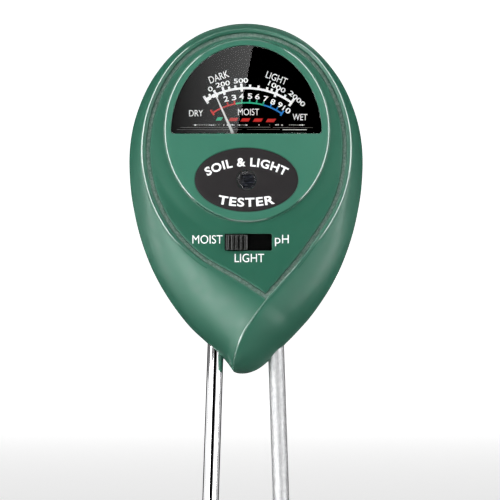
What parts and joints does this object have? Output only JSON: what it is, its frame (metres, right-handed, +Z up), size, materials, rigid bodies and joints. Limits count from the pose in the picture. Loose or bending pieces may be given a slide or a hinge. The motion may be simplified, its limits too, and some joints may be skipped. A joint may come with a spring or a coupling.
{
  "type": "soil moisture meter",
  "caption": "Teardrop-shaped soil tester with a needle dial behind a half-oval window, a sliding mode knob below it and long pointed metal probes.",
  "frame": {"origin": "midway between the points of the probes, in the case's parting plane", "axes": "+Z up along the meter, probes pointing down; the dial faces -Y; +X is to the right of someone reading the dial"},
  "size_m": [0.0656, 0.0338, 0.2904],
  "materials": {
    "case_green": "satin moulded plastic, fine grain",
    "window_clear": "clear moulded window, polished",
    "label_black": "printed badge, fine grain",
    "lens_clear": "clear dome, polished",
    "silicon": "dark cell with fine lines",
    "black_plastic": "moulded, matt",
    "dial_black": "matt black with printed scales",
    "steel": "bright zinc plate",
    "soft_iron": "turned",
    "magnet": "sintered",
    "aluminium": "bare",
    "brass": "turned",
    "copper": "enamelled winding wire",
    "bronze": "rolled strip",
    "needle_white": "matt white paint",
    "phenolic": "pressed board",
    "contact_silver": "silver plate",
    "knob_black": "ribbed moulding, satin",
    "bright_plate": "bright nickel plate",
    "matt_alloy": "matt drawn alloy",
    "wire_red": "wire insulation",
    "wire_black": "wire insulation",
    "wire_yellow": "wire insulation",
    "resistor_body": "lacquered"
  },
  "bodies": {
    "case": {"bridge_screws": "steel", "calibration_resistor": "resistor_body", "case_screws": "steel", "clamp_screws": "steel", "core_magnet": "magnet", "core_supports": "aluminium", "dial_plate": "dial_black", "front_bridge": "brass", "front_cover": "case_green", "front_hairspring": "bronze", "front_jewel_screw": "brass", "label_plate": "label_black", "movement_frame": "black_plastic", "movement_screws": "steel", "photocell": "silicon", "photocell_holder": "black_plastic", "pointer_stops": "steel", "probe_clamp": "black_plastic", "probe_left": "bright_plate", "probe_right": "matt_alloy", "probe_tags": "brass", "rear_bridge": "brass", "rear_cover": "case_green", "rear_hairspring": "bronze", "rear_jewel_screw": "brass", "sensor_lens": "lens_clear", "switch_base": "phenolic", "switch_body": "black_plastic", "switch_bracket": "steel", "switch_contacts": "contact_silver", "switch_screws": "steel", "switch_terminals": "contact_silver", "tag_screws": "steel", "window_lens": "window_clear", "wire_left_probe": "wire_red", "wire_movement_a": "wire_red", "wire_movement_b": "wire_black", "wire_photocell_a": "wire_yellow", "wire_photocell_b": "wire_black", "wire_right_probe": "wire_black", "yoke_ring": "soft_iron"},
    "pointer": {"pointer_needle": "needle_white", "pointer_counterweights": "brass", "coil_former": "aluminium", "coil_winding": "copper", "front_pivot": "steel", "rear_pivot": "steel"},
    "mode_knob": {"switch_knob": "knob_black", "slider_carriage": "knob_black", "wiper_contact": "bronze", "detent_spring": "steel", "detent_ball": "steel"}
  },
  "joints": [
    {"name": "pointer_turn", "type": "hinge", "parent": "case", "child": "pointer", "pos_m": [0.00022, 0, 0.2507], "axis": [0, 1, 0], "range_deg": [-10, 60], "stiffness_Nm_per_rad": 0.0002},
    {"name": "knob_slide", "type": "slide", "parent": "case", "child": "mode_knob", "axis": [1, 0, 0], "range_m": [0, 0.0065]}
  ]
}
